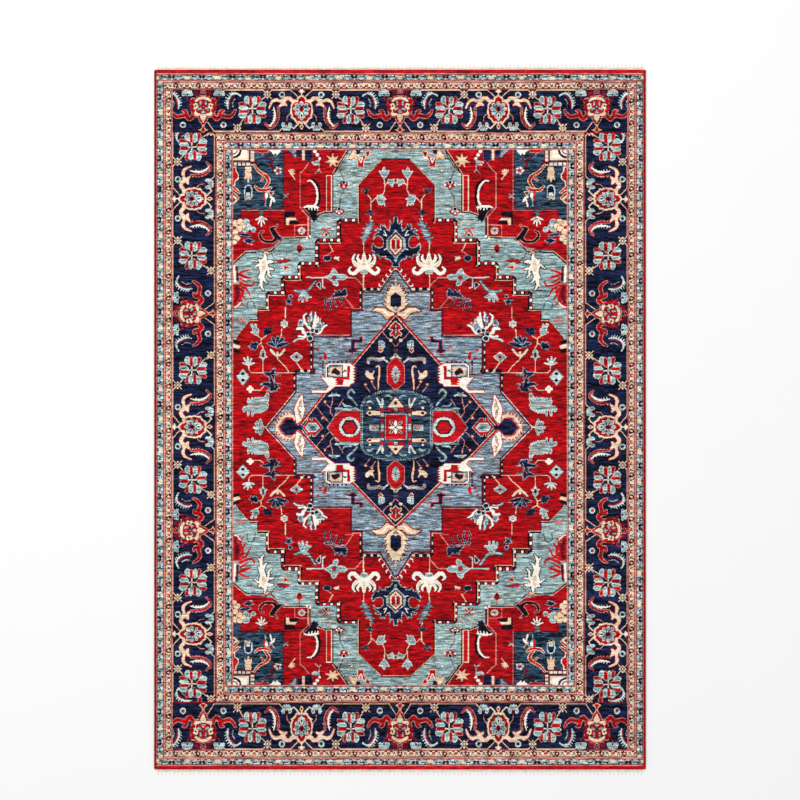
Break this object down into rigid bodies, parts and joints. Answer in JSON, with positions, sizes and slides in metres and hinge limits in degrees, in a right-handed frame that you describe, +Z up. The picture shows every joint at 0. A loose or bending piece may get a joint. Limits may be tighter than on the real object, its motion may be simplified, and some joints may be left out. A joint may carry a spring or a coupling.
{
  "type": "area rug",
  "caption": "Rectangular hand-knotted wool rug with a stepped centre medallion, banded borders, corded selvedges and short end fringes.",
  "frame": {"origin": "middle of the rug's underside, on the floor", "axes": "+X across the rug's width, +Y along its length towards the end that is at the top, +Z up out of the pile"},
  "size_m": [2.46, 3.5598, 0.009],
  "materials": {
    "cotton": "undyed cotton yarn, flat-woven and twisted",
    "red_wool": "madder-red hand-spun wool, cut pile and overcast cord",
    "pale_blue_wool": "pale blue-green hand-spun wool, cut pile",
    "cream_wool": "cream hand-spun wool, cut pile",
    "navy_wool": "navy hand-spun wool, cut pile",
    "teal_wool": "dark teal-blue hand-spun wool, cut pile",
    "slate_wool": "slate-blue hand-spun wool, cut pile"
  },
  "bodies": {
    "root": {"foundation": "cotton", "selvedge_left": "red_wool", "selvedge_right": "red_wool", "end_weave_top": "cotton", "fringe_top": "cotton", "end_stripe_top": "red_wool", "end_weave_bottom": "cotton", "fringe_bottom": "cotton", "end_stripe_bottom": "red_wool", "outer_blue_guard_top": "pale_blue_wool", "outer_blue_guard_bottom": "pale_blue_wool", "outer_blue_guard_left": "pale_blue_wool", "outer_blue_guard_right": "pale_blue_wool", "outer_cream_guard_top": "cream_wool", "outer_cream_guard_bottom": "cream_wool", "outer_cream_guard_left": "cream_wool", "outer_cream_guard_right": "cream_wool", "main_border_top": "navy_wool", "main_border_bottom": "navy_wool", "main_border_left": "navy_wool", "main_border_right": "navy_wool", "inner_cream_guard_top": "cream_wool", "inner_cream_guard_bottom": "cream_wool", "inner_cream_guard_left": "cream_wool", "inner_cream_guard_right": "cream_wool", "inner_blue_guard_top": "pale_blue_wool", "inner_blue_guard_bottom": "pale_blue_wool", "inner_blue_guard_left": "pale_blue_wool", "inner_blue_guard_right": "pale_blue_wool", "field_ground": "red_wool", "medallion_ground": "slate_wool", "medallion_diamond": "navy_wool", "medallion_centre": "teal_wool", "spandrel_top": "pale_blue_wool", "corner_panel_top_left": "red_wool", "corner_block_top_left": "teal_wool", "corner_panel_top_right": "red_wool", "corner_block_top_right": "teal_wool", "spandrel_bottom": "pale_blue_wool", "corner_panel_bottom_left": "red_wool", "corner_block_bottom_left": "teal_wool", "corner_panel_bottom_right": "red_wool", "corner_block_bottom_right": "teal_wool"}
  },
  "joints": []
}
